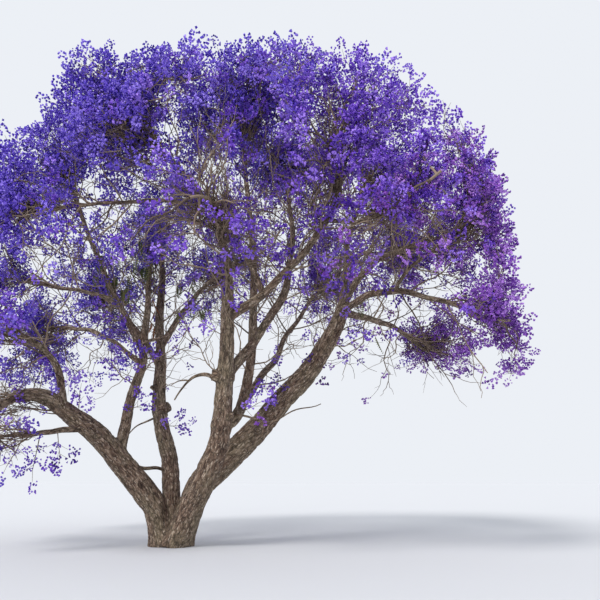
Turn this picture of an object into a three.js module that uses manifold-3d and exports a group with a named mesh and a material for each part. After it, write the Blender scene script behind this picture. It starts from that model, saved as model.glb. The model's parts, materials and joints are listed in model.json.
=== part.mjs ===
// A jacaranda in full flower: a short thick trunk that forks near the ground, long leaning
// leaders, boughs, and an open spreading crown of blossom.
// Millimetres, +Z up. The origin lies at ground level under the middle of the trunk.
// The low left leader points to -X, and the front of the crown to -Y.

import * as THREE from "three";
import { mergeVertices } from "three/addons/utils/BufferGeometryUtils.js";
import Module from "manifold-3d";

const wasm = await Module();
wasm.setup();

const DEGREE = Math.PI / 180;
const GOLDEN_ANGLE = Math.PI * (3 - Math.sqrt(5));
const UP = new THREE.Vector3(0, 0, 1);
const CLEARANCE = 0.3; // between two pieces that meet
const STEM_GAP = 0.35; // between a limb's tip and the stem of its foliage
const MERGE = 1e-3; // corners closer than this are one corner

// The trunk, from its flat foot to the dome between the leaders. Its lean is at the fork.
const TRUNK = {
  height: 1130,
  fork: 1000, // the top of its middle line, from which the leaders' feet are measured
  width: 980,
  depth: 930,
  lean: 50,
  shoulder: 780, // above this height the dome closes
  brim: 60, // how much higher the dome would close to a point
  widerAcross: 0.46, // share by which it widens towards the fork, from left to right
  widerDeep: 0.1,
  flare: 0.09, // share by which the root flare widens the foot
  flareHeight: 140,
  lobes: 5,
  lobeDepth: 0.045,
  lobesAbove: 0.4, // share of the lobes that remains above the flare
  sides: 16,
  steps: 8,
};

// Each limb leaves its parent at a share of the parent's length. It reaches out towards its
// heading, in degrees from +X, and climbs. Its middle is moved up by arch, to the left of the
// heading by sway and along it by push. The foot and tip are radii. A limb that forks ends
// where its boughs go on and carries no foliage of its own.
const LIMBS = {
  left_leader: { parent: "trunk", share: 0.3, heading: -164, reach: 3700, climb: 2900,
    arch: 2400, sway: -350, push: 850, foot: 300, tip: 90 },
  left_low_bough: { parent: "left_leader", share: 0.42, heading: -126, reach: 2000, climb: -300,
    arch: -50, sway: -100, push: 100, foot: 75, tip: 32 },
  left_front_bough: { parent: "left_leader", share: 0.58, heading: -105, reach: 2150, climb: 1450,
    arch: 500, sway: 650, push: -150, foot: 95, tip: 36 },
  rear_left_leader: { parent: "left_leader", share: 0.26, heading: 88, reach: 1950, climb: 5350,
    arch: -50, sway: -250, push: 50, foot: 140, tip: 55 },
  left_bough: { parent: "rear_left_leader", share: 0.51, heading: -164, reach: 2200, climb: 4750,
    arch: -150, sway: -50, push: 150, foot: 84, tip: 36 },
  left_arm: { parent: "left_bough", share: 0.29, heading: -158, reach: 2200, climb: 300,
    arch: 50, sway: 0, push: 100, foot: 56, tip: 30 },
  left_back_bough: { parent: "rear_left_leader", share: 0.45, heading: 155, reach: 3200, climb: 1250,
    arch: 700, sway: 0, push: 0, foot: 70, tip: 34 },
  centre_leader: { parent: "trunk", share: 0.6, heading: 113, reach: 3250, climb: 8100,
    arch: -1450, sway: 200, push: -450, foot: 235, tip: 50 },
  back_left_bough: { parent: "centre_leader", share: 0.55, heading: 138, reach: 3400, climb: 2650,
    arch: 600, sway: 0, push: 0, foot: 95, tip: 38 },
  back_bough: { parent: "centre_leader", share: 0.62, heading: 65, reach: 2950, climb: 2950,
    arch: 600, sway: 0, push: 0, foot: 90, tip: 38 },
  right_leader: { parent: "trunk", share: 0.9, heading: -3, reach: 3950, climb: 4750,
    arch: 750, sway: 0, push: 1650, foot: 330, tip: 130, forks: true },
  right_bough: { parent: "right_leader", share: 0.95, heading: 20, reach: 2350, climb: 2050,
    arch: 500, sway: 200, push: -600, foot: 92, tip: 45 },
  right_fork: { parent: "right_leader", share: 0.95, heading: 60, reach: 1300, climb: 3300,
    arch: 500, sway: 150, push: -50, foot: 82, tip: 38 },
  right_back_arm: { parent: "right_fork", share: 0.35, heading: 58, reach: 3300, climb: 1250,
    arch: 400, sway: 0, push: 0, foot: 46, tip: 30 },
  right_front_bough: { parent: "right_leader", share: 0.95, heading: -40, reach: 3400, climb: -650,
    arch: 900, sway: -350, push: -100, foot: 90, tip: 40 },
  right_front_arm: { parent: "right_front_bough", share: 0.51, heading: -6, reach: 1600, climb: 1450,
    arch: -450, sway: -300, push: -950, foot: 45, tip: 30 },
  right_low_bough: { parent: "right_leader", share: 0.93, heading: 49, reach: 4000, climb: -250,
    arch: 600, sway: 200, push: -300, foot: 98, tip: 38 },
  upright_leader: { parent: "trunk", share: 0.65, heading: -54, reach: 2350, climb: 4700,
    arch: -2100, sway: 500, push: 300, foot: 310, tip: 130, forks: true },
  upright_bough: { parent: "upright_leader", share: 0.95, heading: -91, reach: 2050, climb: 1550,
    arch: 200, sway: 200, push: -50, foot: 92, tip: 42 },
  front_right_bough: { parent: "upright_leader", share: 0.95, heading: -34, reach: 2800, climb: 2500,
    arch: 100, sway: 800, push: 850, foot: 95, tip: 42 },
  front_right_arm: { parent: "front_right_bough", share: 0.7, heading: -43, reach: 1850, climb: -150,
    arch: -450, sway: -150, push: 150, foot: 42, tip: 30 },
  front_left_bough: { parent: "front_right_bough", share: 0.18, heading: -159, reach: 2900, climb: 3150,
    arch: 600, sway: 150, push: -400, foot: 62, tip: 36 },
  front_left_arm: { parent: "front_left_bough", share: 0.5, heading: -169, reach: 3700, climb: -550,
    arch: 300, sway: 0, push: 0, foot: 40, tip: 30 },
  crown_bough: { parent: "upright_leader", share: 0.64, heading: 29, reach: 400, climb: 6550,
    arch: -2950, sway: 0, push: 1050, foot: 146, tip: 45 },
  rear_right_bough: { parent: "upright_leader", share: 0.79, heading: 69, reach: 3500, climb: 6200,
    arch: -750, sway: -1150, push: 450, foot: 120, tip: 42 },
  back_right_bough: { parent: "crown_bough", share: 0.24, heading: 67, reach: 5400, climb: 4500,
    arch: -450, sway: 100, push: -400, foot: 90, tip: 36 },
};

const LIMB = {
  taper: 0.8,
  collar: 0.22, // share by which a limb is thicker where it leaves its parent
  collarLength: 260,
  wander: 0.008, // share of its length by which a limb strays from its curve to a side
  wanderUp: 0.7, // share of that by which it strays upward
  waves: 7, // how fast it strays to and fro, in radians along the whole limb
  wavesUp: 9,
  pieces: 16, // straight pieces that stand for a limb where foliage keeps off it
  sides: 5,
  leaderSides: 6,
  leaderFoot: 140, // a limb with a foot over this radius counts as a leader
  steps: 7,
};

// The crown is a dome with a squarish plan, whose rim hangs lower at the sides than in front
// and behind. Its middle lies to the right of the trunk.
const CROWN = {
  top: 11550,
  middle: 1800,
  left: 5400,
  right: 8100,
  front: 4900,
  back: 5600,
  rim: { left: 2000, right: 3600, front: 5300, back: 6300 },
  planPower: 2.6,
  domePower: { left: 2.7, right: 3.2 }, // a higher power gives a fuller shoulder
  rings: 200, // by which its area is added up from the top down
  twigs: 106,
  sprays: 480,
  layers: 3, // depths at which sprays end, each this share nearer to the limb's tip
  layerDepth: 0.14,
  dip: 0.22, // share by which the crown draws in between two masses
  dipWidth: 700,
  mostSunk: 0.5, // share of the way to the limb's tip past which no end is moved
};

const BALL = { fewest: 3, radius: 900, twigs: 4, sprays: 11 }; // for tips with fewer twigs
const STEM = {
  share: 0.55, // of the way to the middle of its twigs' ends
  least: 800,
  onward: 0.5, // share of its length over which it keeps its limb's direction
  limbPull: 240, // how far its end is moved along its limb's direction
  foot: 1.05, // its radius there, in radii of the limb's tip
  tip: 32,
  steps: 3,
};
const TWIG = {
  foot: 15,
  tip: 10,
  arch: 0.1, // share of its length by which its middle rises, and sways to a side
  sway: 0.12,
  bendMore: 0.12,
  firstFork: 0.12,
  lastFork: 0.96,
  steps: 2,
  tries: 4,
};
const SPRAY = {
  length: 1150,
  width: 680,
  thickness: 380,
  belly: 0.58, // share of the length where it is widest
  lean: 55, // degrees between it and its twig that suit it best
  roots: [0.35, 0.45, 0.55, 0.65, 0.75, 0.85, 0.95],
  sunk: 90, // depth of the twig's end in its last spray
  leastShare: 0.8,
  apart: 540, // between the bellies of two sprays
  tries: 10,
  keepOff: 0.4, // share of its width that stays clear of every limb
};
const SPACE_MARGIN = 10; // between a mass and the border of its space
const LIMB_MARGIN = 25; // between foliage and any limb
const TWIG_SIDES = 3;
const SIMPLER = 1; // how far a surface may move to save faces

// A number from 0 to 1 that is the same each time for the same row and turn.
function chance(row, turn) {
  const wave = Math.sin(row * 12.9898 + turn * 78.233) * 43758.5453;
  return wave - Math.floor(wave);
}

// The geometry as one closed solid, with corners that coincide made one.
function solidFrom(geometry) {
  const bare = new THREE.BufferGeometry();
  bare.setAttribute("position", geometry.getAttribute("position"));
  bare.setIndex(geometry.getIndex());
  const merged = mergeVertices(bare, MERGE);
  return new wasm.Manifold(
    new wasm.Mesh({
      numProp: 3,
      vertProperties: merged.getAttribute("position").array,
      triVerts: new Uint32Array(merged.getIndex().array),
    }),
  );
}

// The largest body of a solid, so that scraps and sealed hollows are dropped.
function largestBody(solid) {
  return solid.decompose().reduce((a, b) => (b.volume() > a.volume() ? b : a));
}

// Moves every corner of a geometry to what `place` makes of it.
function reshape(geometry, place) {
  const corners = geometry.getAttribute("position");
  const corner = new THREE.Vector3();
  for (let i = 0; i < corners.count; i++) {
    place(corner.fromBufferAttribute(corners, i));
    corners.setXYZ(i, corner.x, corner.y, corner.z);
  }
  return geometry;
}

// A closed tube along a curve. radiusAt gives its radius at a share of the curve, and its end
// lies `overrun` beyond the curve's.
function tubeAlong(curve, radiusAt, sides, steps, overrun = 0) {
  const straight = new THREE.CylinderGeometry(1, 1, 1, sides, steps).rotateX(Math.PI / 2);
  return reshape(straight, (corner) => {
    const share = corner.z + 0.5;
    const turn = new THREE.Quaternion().setFromUnitVectors(UP, curve.getTangent(share));
    corner.multiplyScalar(radiusAt(share)).setZ(share === 1 ? overrun : 0);
    corner.applyQuaternion(turn).add(curve.getPoint(share));
  });
}

// Trunk

// How much wider than its foot the trunk is at a height and an angle round it, from the flare,
// its lobes and the dome over its shoulder.
function trunkGirth(height, angle) {
  const flare = Math.exp(-height / TRUNK.flareHeight);
  const lobes = Math.cos(TRUNK.lobes * angle) * TRUNK.lobeDepth * (TRUNK.lobesAbove + flare);
  const room = TRUNK.height - TRUNK.shoulder + TRUNK.brim;
  const overShoulder = Math.max(0, height - TRUNK.shoulder) / room;
  return (1 + TRUNK.flare * flare + lobes) * Math.sqrt(1 - overShoulder ** 2);
}

// The trunk with its surface grown outward by `grow`.
function trunkSolid(grow) {
  const upright = new THREE.CylinderGeometry(1, 1, 1, TRUNK.sides, TRUNK.steps).rotateX(Math.PI / 2);
  const shaped = reshape(upright, (corner) => {
    const height = (corner.z + 0.5) * TRUNK.height;
    const girth = trunkGirth(height, Math.atan2(corner.y, corner.x));
    const lean = (TRUNK.lean * height) / TRUNK.fork;
    const rise = THREE.MathUtils.smoothstep(height, 0, TRUNK.shoulder);
    corner.x *= (TRUNK.width / 2) * girth * (1 + TRUNK.widerAcross * rise) + grow;
    corner.y *= (TRUNK.depth / 2) * girth * (1 + TRUNK.widerDeep * rise) + grow;
    corner.x += lean;
    corner.z = height + (height > TRUNK.shoulder ? grow : 0);
  });
  return solidFrom(shaped);
}

// Limbs

// A quadratic curve that strays a little to each side, as grown wood does.
class LimbCurve extends THREE.QuadraticBezierCurve3 {
  constructor(start, middle, end, side, stray, phase) {
    super(start, middle, end);
    Object.assign(this, { side, stray, phase });
  }

  getPoint(share, target = new THREE.Vector3()) {
    super.getPoint(share, target);
    const room = 4 * share * (1 - share) * this.stray;
    target.addScaledVector(this.side, room * Math.sin(LIMB.waves * share + this.phase));
    const rise = LIMB.wanderUp * Math.sin(LIMB.wavesUp * share + 2 * this.phase);
    target.addScaledVector(UP, room * rise);
    return target;
  }
}

function limbCurve(size, parentCurve, order) {
  const heading = size.heading * DEGREE;
  const along = new THREE.Vector3(Math.cos(heading), Math.sin(heading), 0);
  const side = new THREE.Vector3(-along.y, along.x, 0);
  const start = parentCurve.getPoint(size.share);
  const end = start.clone().addScaledVector(along, size.reach).addScaledVector(UP, size.climb);
  const middle = start.clone().lerp(end, 0.5);
  middle.addScaledVector(UP, size.arch).addScaledVector(side, size.sway);
  middle.addScaledVector(along, size.push);
  const stray = LIMB.wander * start.distanceTo(end);
  return new LimbCurve(start, middle, end, side, stray, order * GOLDEN_ANGLE);
}

// All limbs, parents first, each with its curve, length, radius rule and tip.
function planLimbs() {
  const fork = new THREE.Vector3(TRUNK.lean, 0, TRUNK.fork);
  const curves = { trunk: new THREE.LineCurve3(new THREE.Vector3(), fork) };
  return Object.entries(LIMBS).map(([name, size], order) => {
    const curve = limbCurve(size, curves[size.parent], order);
    curves[name] = curve;
    const length = curve.getLength();
    const radiusAt = (share) => {
      const collar = size.foot * LIMB.collar * Math.exp((-share * length) / LIMB.collarLength);
      return size.tip + (size.foot - size.tip) * (1 - share) ** LIMB.taper + collar;
    };
    return { name, order, size, curve, length, radiusAt, tip: curve.getPoint(1) };
  });
}

// A limb with its sides grown outward by `grow` and its end by `overrun`.
function limbSolid(limb, grow, overrun) {
  const sides = limb.size.foot > LIMB.leaderFoot ? LIMB.leaderSides : LIMB.sides;
  const radiusAt = (share) => limb.radiusAt(share) + grow;
  return solidFrom(tubeAlong(limb.curve, radiusAt, sides, LIMB.steps, overrun));
}

// The trunk and limbs as solids. A limb starts inside its parent and is cut clear of every
// piece made before it.
function woodSolids(limbs) {
  const made = [{ name: "trunk", solid: trunkSolid(0), grown: trunkSolid(CLEARANCE) }];
  for (const limb of limbs) {
    let solid = limbSolid(limb, 0, 0);
    for (const earlier of made) solid = solid.subtract(earlier.grown);
    const grown = limbSolid(limb, CLEARANCE, CLEARANCE);
    made.push({ name: limb.name, solid: largestBody(solid), grown });
  }
  return made;
}

// Crown

// A point of the crown's surface. `angle` runs round it, and `sink` from 0 at the top to 1 at
// the rim.
function crownPoint(angle, sink) {
  const [across, deep] = [Math.cos(angle), Math.sin(angle)];
  const half = {
    x: across < 0 ? CROWN.left + CROWN.middle : CROWN.right - CROWN.middle,
    y: deep < 0 ? CROWN.front : CROWN.back,
  };
  const plan = Math.abs(across / half.x) ** CROWN.planPower + Math.abs(deep / half.y) ** CROWN.planPower;
  const rimX = across < 0 ? CROWN.rim.left : CROWN.rim.right;
  const rimY = deep < 0 ? CROWN.rim.front : CROWN.rim.back;
  const rim = across ** 2 * rimX + deep ** 2 * rimY;
  const level = 1 - sink;
  const power = THREE.MathUtils.lerp(CROWN.domePower.left, CROWN.domePower.right, (across + 1) / 2);
  const spread = Math.sqrt(1 - level ** 2) ** (2 / power) / plan ** (1 / CROWN.planPower);
  const height = rim + (CROWN.top - rim) * level ** (2 / power);
  return new THREE.Vector3(CROWN.middle + across * spread, deep * spread, height);
}

// Shares of the way down the crown for points that cover it evenly, from its top to its rim.
function evenSinks(count) {
  const { left, right, front, back, rim, top, domePower, rings } = CROWN;
  const power = (domePower.left + domePower.right) / 2;
  const radius = (left + right + front + back) / 4;
  const rise = top - (rim.left + rim.right + rim.front + rim.back) / 4;
  const profile = Array.from({ length: rings + 1 }, (_, ring) => {
    const level = 1 - ring / rings;
    const spread = Math.sqrt(1 - level * level) ** (2 / power);
    return new THREE.Vector2(radius * spread, rise * level ** (2 / power));
  });
  const areas = [0];
  for (let ring = 1; ring <= rings; ring += 1) {
    const girth = (profile[ring - 1].x + profile[ring].x) / 2;
    areas.push(areas[ring - 1] + girth * profile[ring].distanceTo(profile[ring - 1]));
  }
  return Array.from({ length: count }, (_, number) => {
    const wanted = (areas[rings] * (number + 0.5)) / count;
    const ring = areas.findIndex((area) => area >= wanted);
    const beyond = (areas[ring] - wanted) / (areas[ring] - areas[ring - 1]);
    return (ring - beyond) / rings;
  });
}

// Shares `count` points of the crown's surface out among the limbs: each goes to the limb with
// the nearest tip. Where two masses meet the crown draws in, and each layer lies deeper.
function shareOut(limbs, count, layers, list) {
  const sinks = evenSinks(count);
  for (const limb of limbs) limb[list] = [];
  for (let number = 0; number < count; number++) {
    const end = crownPoint(number * GOLDEN_ANGLE, sinks[number]);
    const distance = (limb) => limb.tip.distanceTo(end);
    const [own, next] = [...limbs].sort((a, b) => distance(a) - distance(b));
    const dip = CROWN.dip * Math.exp((distance(own) - distance(next)) / CROWN.dipWidth);
    end.lerp(own.tip, Math.min(CROWN.mostSunk, dip + CROWN.layerDepth * (number % layers)));
    own[list].push({ end, number });
  }
}

// A limb whose tip lies deep in the crown gets `count` points of a ball round its tip instead.
function fillBall(limb, count, list) {
  const first = 1000 * limb.order; // so that no two limbs' numbers are the same
  for (let i = 0; i < count; i++) {
    const height = 1 - (2 * (i + 0.5)) / count;
    const around = new THREE.Vector3(Math.sqrt(1 - height ** 2), 0, height);
    around.applyAxisAngle(UP, i * GOLDEN_ANGLE).multiplyScalar(BALL.radius);
    limb[list].push({ end: around.add(limb.tip), number: first + i });
  }
}

// Masses of foliage

// Whether a point lies on the limb's own side of the plane halfway to every other limb's tip.
function inSpace(point, limb, limbs) {
  return limbs.every((other) => {
    if (other === limb) return true;
    const apart = other.tip.distanceTo(limb.tip);
    const beyond = other.tip.distanceToSquared(point) - limb.tip.distanceToSquared(point);
    return beyond / (2 * apart) > SPACE_MARGIN;
  });
}

// Every limb as short straight pieces with their radii, to keep foliage off the wood.
function woodPieces(limbs) {
  return limbs.flatMap((limb) =>
    linesOf(limb.curve, LIMB.pieces).map((line, i) => {
      return { line, radius: limb.radiusAt(i / LIMB.pieces) };
    }),
  );
}

function clearOf(line, radius, wood) {
  return wood.every((piece) => {
    const room = radius + piece.radius + LIMB_MARGIN;
    return line.distanceSqToLine3(piece.line) > room ** 2;
  });
}

function cornersInSpace(geometry, limb, limbs) {
  const corners = geometry.getAttribute("position");
  const corner = new THREE.Vector3();
  for (let i = 0; i < corners.count; i++) {
    if (!inSpace(corner.fromBufferAttribute(corners, i), limb, limbs)) return false;
  }
  return true;
}

// The stem of a mass runs on from its limb's tip and bends towards the middle of its twig ends.
function stemCurve(limb) {
  const tangent = limb.curve.getTangent(1);
  const start = limb.tip.clone().addScaledVector(tangent, STEM_GAP);
  const middle = new THREE.Vector3();
  for (const { end } of limb.twigs) middle.addScaledVector(end, 1 / limb.twigs.length);
  const outward = middle.sub(start).addScaledVector(tangent, STEM.limbPull);
  const length = Math.max(STEM.least, STEM.share * outward.length());
  const end = start.clone().addScaledVector(outward.normalize(), length);
  const bend = start.clone().addScaledVector(tangent, STEM.onward * start.distanceTo(end));
  return new THREE.QuadraticBezierCurve3(start, bend, end);
}

// A twig's curve from its fork on the stem to its end. Each further try bends it otherwise.
function twigCurve(start, end, number, attempt) {
  const length = start.distanceTo(end);
  const along = end.clone().sub(start).normalize();
  const side = new THREE.Vector3().crossVectors(UP, along).normalize();
  const middle = start.clone().lerp(end, 0.5);
  middle.addScaledVector(UP, length * (TWIG.arch + TWIG.bendMore * attempt));
  middle.addScaledVector(side, length * TWIG.sway * (2 + attempt) * (chance(number, attempt) - 0.5));
  return new THREE.QuadraticBezierCurve3(start, middle, end);
}

function linesOf(curve, count) {
  const points = curve.getPoints(count);
  return points.slice(1).map((point, i) => new THREE.Line3(points[i], point));
}

// The twigs of one mass fork from its stem in turn, the shortest first.
function growTwigs(stem, limb, limbs, wood) {
  const fromTip = ({ end }) => end.distanceTo(limb.tip);
  const byLength = [...limb.twigs].sort((a, b) => fromTip(a) - fromTip(b));
  return byLength.flatMap(({ end, number }, rank) => {
    const turn = (rank + 0.5) / byLength.length;
    const start = stem.getPoint(THREE.MathUtils.lerp(TWIG.firstFork, TWIG.lastFork, turn));
    for (let attempt = 0; attempt < TWIG.tries; attempt++) {
      const curve = twigCurve(start, end, number, attempt);
      const radiusAt = (share) => THREE.MathUtils.lerp(TWIG.foot, TWIG.tip, share);
      const geometry = tubeAlong(curve, radiusAt, TWIG_SIDES, TWIG.steps);
      const lines = linesOf(curve, TWIG.steps);
      const clear = lines.slice(1).every((line) => clearOf(line, TWIG.foot, wood));
      if (clear && cornersInSpace(geometry, limb, limbs)) return [{ curve, number, geometry, lines }];
    }
    return [];
  });
}

// A spray of blossom: eight faces that widen from a root to a belly and close at a tip.
function sprayGeometry(line, roll) {
  const length = line.distance();
  const size = length / SPRAY.length;
  const direction = line.delta(new THREE.Vector3()).normalize();
  const turn = new THREE.Quaternion().setFromUnitVectors(UP, direction);
  const cross = new THREE.OctahedronGeometry(1);
  cross.scale(SPRAY.width / 2, SPRAY.thickness / 2, 1).rotateZ(roll);
  return reshape(cross, (corner) => {
    const rise = corner.z > 0.5 ? 1 : corner.z < -0.5 ? 0 : SPRAY.belly;
    corner.multiplyScalar(size).setZ(rise * length).applyQuaternion(turn).add(line.start);
  });
}

// The middle line of the spray at a twig's end.
function endLine(twig) {
  const direction = twig.curve.getTangent(1);
  const length = SPRAY.length * THREE.MathUtils.lerp(SPRAY.leastShare, 1, chance(twig.number, 1));
  const root = twig.curve.getPoint(1).addScaledVector(direction, SPRAY.sunk - length);
  return new THREE.Line3(root, root.clone().addScaledVector(direction, length));
}

// The lines that a spray towards `end` could take from any twig, the best one first: one that
// is about as long as a spray and leans well away from its twig.
function linesTo(end, twigs) {
  const choices = twigs.flatMap(({ curve }) =>
    SPRAY.roots.map((share) => {
      const root = curve.getPoint(share);
      const direction = end.clone().sub(root);
      const distance = direction.length();
      const lean = curve.getTangent(share).angleTo(direction);
      const tooFar = Math.abs(distance - SPRAY.length) / SPRAY.length;
      const length = THREE.MathUtils.clamp(distance, SPRAY.length * SPRAY.leastShare, SPRAY.length);
      const tip = root.clone().addScaledVector(direction.normalize(), length);
      return { cost: tooFar + Math.abs(lean - SPRAY.lean * DEGREE), line: new THREE.Line3(root, tip) };
    }),
  );
  return choices.sort((a, b) => a.cost - b.cost).map((choice) => choice.line);
}

// The sprays of one mass. One that would leave its space, touch a limb or crowd another is
// tried from other roots, and left out when no try helps.
function growSprays(twigs, limb, limbs, wood) {
  const wanted = [
    ...twigs.map((twig) => ({ number: twig.number, lines: [endLine(twig)] })),
    ...limb.sprays.map(({ end, number }) => {
      return { number, lines: linesTo(end, twigs).slice(0, SPRAY.tries) };
    }),
  ];
  const bellies = [];
  return wanted.flatMap(({ number, lines }) => {
    for (const line of lines) {
      const belly = line.at(SPRAY.belly, new THREE.Vector3());
      if (bellies.some((other) => other.distanceTo(belly) < SPRAY.apart)) continue;
      const geometry = sprayGeometry(line, Math.PI * chance(number, 2));
      if (!clearOf(line, SPRAY.width * SPRAY.keepOff, wood)) continue;
      if (!cornersInSpace(geometry, limb, limbs)) continue;
      bellies.push(belly);
      return [geometry];
    }
    return [];
  });
}

// One mass of foliage: a stem, its twigs and their sprays, fused and cut clear of its limb.
function massSolid(limb, limbs, wood) {
  const stem = stemCurve(limb);
  const stemRadius = (share) => THREE.MathUtils.lerp(limb.size.tip * STEM.foot, STEM.tip, share);
  const twigs = growTwigs(stem, limb, limbs, wood);
  const geometries = [
    tubeAlong(stem, stemRadius, TWIG_SIDES, STEM.steps),
    ...twigs.map((twig) => twig.geometry),
    ...growSprays(twigs, limb, limbs, wood),
  ];
  const fused = wasm.Manifold.union(geometries.map(solidFrom));
  return largestBody(fused.subtract(limbSolid(limb, CLEARANCE, CLEARANCE))).simplify(SIMPLER);
}

// Scene

const barkMaterial = new THREE.MeshStandardMaterial({ color: 0x5a4c40, roughness: 0.95, metalness: 0 });
const twigBlossomMaterial = new THREE.MeshStandardMaterial({
  color: 0x6b4aa0,
  roughness: 0.8,
  metalness: 0,
});

// A named mesh whose own origin is `place`.
function meshOf(name, solid, material, place) {
  const { vertProperties, triVerts } = solid.getMesh();
  const geometry = new THREE.BufferGeometry();
  geometry.setAttribute("position", new THREE.BufferAttribute(vertProperties, 3));
  geometry.setIndex(new THREE.BufferAttribute(triVerts, 1));
  geometry.translate(-place.x, -place.y, -place.z);
  geometry.computeVertexNormals();
  const mesh = new THREE.Mesh(geometry, material);
  mesh.name = name;
  mesh.position.copy(place);
  return mesh;
}

const limbs = planLimbs();
const leafy = limbs.filter((limb) => !limb.size.forks);
shareOut(leafy, CROWN.twigs, 1, "twigs");
shareOut(leafy, CROWN.sprays, CROWN.layers, "sprays");
for (const limb of leafy) {
  if (limb.twigs.length >= BALL.fewest) continue;
  fillBall(limb, BALL.twigs, "twigs");
  fillBall(limb, BALL.sprays, "sprays");
}

const wood = new THREE.Group();
const foot = { trunk: new THREE.Vector3() };
for (const limb of limbs) foot[limb.name] = limb.curve.getPoint(0);
for (const { name, solid } of woodSolids(limbs)) wood.add(meshOf(name, solid, barkMaterial, foot[name]));

const crown = new THREE.Group();
const pieces = woodPieces(limbs);
for (const limb of leafy) {
  const mass = massSolid(limb, leafy, pieces);
  crown.add(meshOf(limb.name + "_blossom", mass, twigBlossomMaterial, limb.tip));
}

const jacaranda = new THREE.Group();
jacaranda.add(wood, crown);

export default jacaranda;
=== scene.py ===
"""A jacaranda in full flower: fissured bark, a web of fine branches, and sprays of violet blossom.

Metres, +Z up, the origin at ground level under the trunk. The limbs, the crown's surface and the
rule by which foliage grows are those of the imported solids, carried on to finer twigs.
"""
import json
import math
from collections import namedtuple
from types import SimpleNamespace as Values

import bpy
import numpy as np
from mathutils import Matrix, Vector, noise

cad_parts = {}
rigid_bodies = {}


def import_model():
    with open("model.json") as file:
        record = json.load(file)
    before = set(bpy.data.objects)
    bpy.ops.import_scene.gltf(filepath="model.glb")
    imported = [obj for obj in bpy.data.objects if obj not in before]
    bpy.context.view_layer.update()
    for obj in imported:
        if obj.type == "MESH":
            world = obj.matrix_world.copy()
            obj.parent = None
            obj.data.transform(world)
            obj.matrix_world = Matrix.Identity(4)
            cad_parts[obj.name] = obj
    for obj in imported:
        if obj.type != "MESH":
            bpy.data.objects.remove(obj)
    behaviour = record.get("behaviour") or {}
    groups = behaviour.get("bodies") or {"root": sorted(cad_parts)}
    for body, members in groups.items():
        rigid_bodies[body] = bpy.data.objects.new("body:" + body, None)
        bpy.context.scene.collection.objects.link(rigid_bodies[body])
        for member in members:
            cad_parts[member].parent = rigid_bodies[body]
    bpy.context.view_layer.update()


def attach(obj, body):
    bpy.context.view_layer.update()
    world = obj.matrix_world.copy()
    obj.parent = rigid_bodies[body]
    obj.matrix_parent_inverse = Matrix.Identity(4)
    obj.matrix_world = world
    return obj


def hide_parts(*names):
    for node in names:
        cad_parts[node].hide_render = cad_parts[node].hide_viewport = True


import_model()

UP = np.array([0.0, 0.0, 1.0])
ASIDE = np.array([0.31, 0.95, 0.05])  # a direction in which no sprig points
FULL_TURN = 2 * math.pi
GOLDEN_ANGLE = math.pi * (3 - math.sqrt(5))
MOST_TRIANGLES = 190_000  # in one piece

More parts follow.
